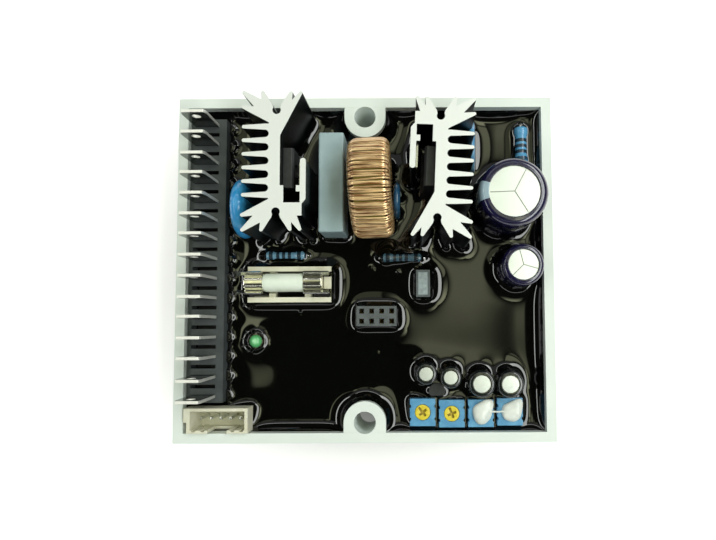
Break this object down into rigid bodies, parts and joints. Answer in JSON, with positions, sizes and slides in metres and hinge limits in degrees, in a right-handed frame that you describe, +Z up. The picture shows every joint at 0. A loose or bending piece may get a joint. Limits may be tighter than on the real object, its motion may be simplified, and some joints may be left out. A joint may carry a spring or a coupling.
{
  "type": "automatic voltage regulator",
  "caption": "Open potted tray with push-on tabs, finned heat sinks, a wound choke, a fuse and adjusting trimmers; regulates a generator's output voltage by driving its exciter.",
  "frame": {"origin": "under the middle of the tray, on the surface that it rests on", "axes": "+X along the long side of the tray, away from the terminal row; +Y towards the heat-sink side; +Z up, out of the tray"},
  "size_m": [0.096, 0.088, 0.033],
  "materials": {
    "tray_plastic": "moulded near-white plastic",
    "board_laminate": "green coated glass laminate",
    "potting_resin": "black cured resin, glossy",
    "moulded_black": "black moulding compound",
    "block_plastic": "slate grey moulded plastic",
    "tinned_metal": "tin-plated sheet metal",
    "sink_aluminium": "extruded aluminium, sawn ends",
    "spring_steel": "rolled spring steel",
    "film_box": "pale grey moulded box",
    "dark_box": "dark grey moulded box",
    "iron_powder": "coated pressed iron powder",
    "copper_wire": "enamelled copper wire",
    "blue_epoxy": "dipped blue epoxy",
    "dark_epoxy": "dipped dark blue epoxy",
    "can_aluminium": "drawn aluminium can",
    "sleeve_film": "dark blue shrink film",
    "resistor_coat": "lacquered body",
    "cream_plastic": "cream moulded plastic",
    "fuse_ceramic": "white ceramic tube",
    "lamp_lens": "green tinted lens",
    "header_black": "black moulded plastic",
    "contact_brass": "formed contact metal",
    "trimmer_plastic": "light blue moulded plastic",
    "rotor_plastic": "yellow moulded plastic",
    "seal_compound": "white sealing compound"
  },
  "bodies": {
    "unit": {"tray": "tray_plastic", "circuit_board": "board_laminate", "control_chip": "moulded_black", "potting_resin": "potting_resin", "terminal_block": "block_plastic", "terminal_tabs": "tinned_metal", "heat_sink_left": "sink_aluminium", "heat_sink_right": "sink_aluminium", "power_transistor_left": "moulded_black", "power_transistor_right": "moulded_black", "spring_clip_left": "spring_steel", "spring_clip_right": "spring_steel", "film_capacitor": "film_box", "box_capacitor": "dark_box", "choke_core": "iron_powder", "choke_winding": "copper_wire", "varistor_left": "blue_epoxy", "varistor_right": "blue_epoxy", "disc_capacitor": "dark_epoxy", "large_can": "can_aluminium", "large_sleeve": "sleeve_film", "medium_can": "can_aluminium", "medium_sleeve": "sleeve_film", "small_can_1": "can_aluminium", "small_can_2": "can_aluminium", "small_can_3": "can_aluminium", "small_can_4": "can_aluminium", "small_sleeve_1": "sleeve_film", "small_sleeve_2": "sleeve_film", "small_sleeve_3": "sleeve_film", "small_sleeve_4": "sleeve_film", "resistor_left": "resistor_coat", "resistor_middle": "resistor_coat", "power_resistor": "resistor_coat", "fuse_holder": "cream_plastic", "fuse_clip_left": "tinned_metal", "fuse_clip_right": "tinned_metal", "fuse_tube": "fuse_ceramic", "fuse_cap_left": "tinned_metal", "fuse_cap_right": "tinned_metal", "indicator_lamp": "lamp_lens", "socket_header": "header_black", "socket_contacts": "contact_brass", "plug_header": "cream_plastic", "plug_pins_row": "tinned_metal", "trimmer_body_1": "trimmer_plastic", "trimmer_body_2": "trimmer_plastic", "trimmer_body_3": "trimmer_plastic", "trimmer_body_4": "trimmer_plastic", "trimmer_rotor_3": "rotor_plastic", "trimmer_rotor_4": "rotor_plastic", "sealant_3": "seal_compound", "sealant_4": "seal_compound", "small_transistor": "moulded_black"},
    "rotor_1": {"trimmer_rotor_1": "rotor_plastic"},
    "rotor_2": {"trimmer_rotor_2": "rotor_plastic"}
  },
  "joints": [
    {"name": "trimmer_1_turn", "type": "hinge", "parent": "unit", "child": "rotor_1", "pos_m": [0.01452, -0.03675, 0.0145], "axis": [0, 0, 1], "range_deg": [-130, 130]},
    {"name": "trimmer_2_turn", "type": "hinge", "parent": "unit", "child": "rotor_2", "pos_m": [0.02188, -0.0371, 0.0145], "axis": [0, 0, 1], "range_deg": [-130, 130]}
  ]
}
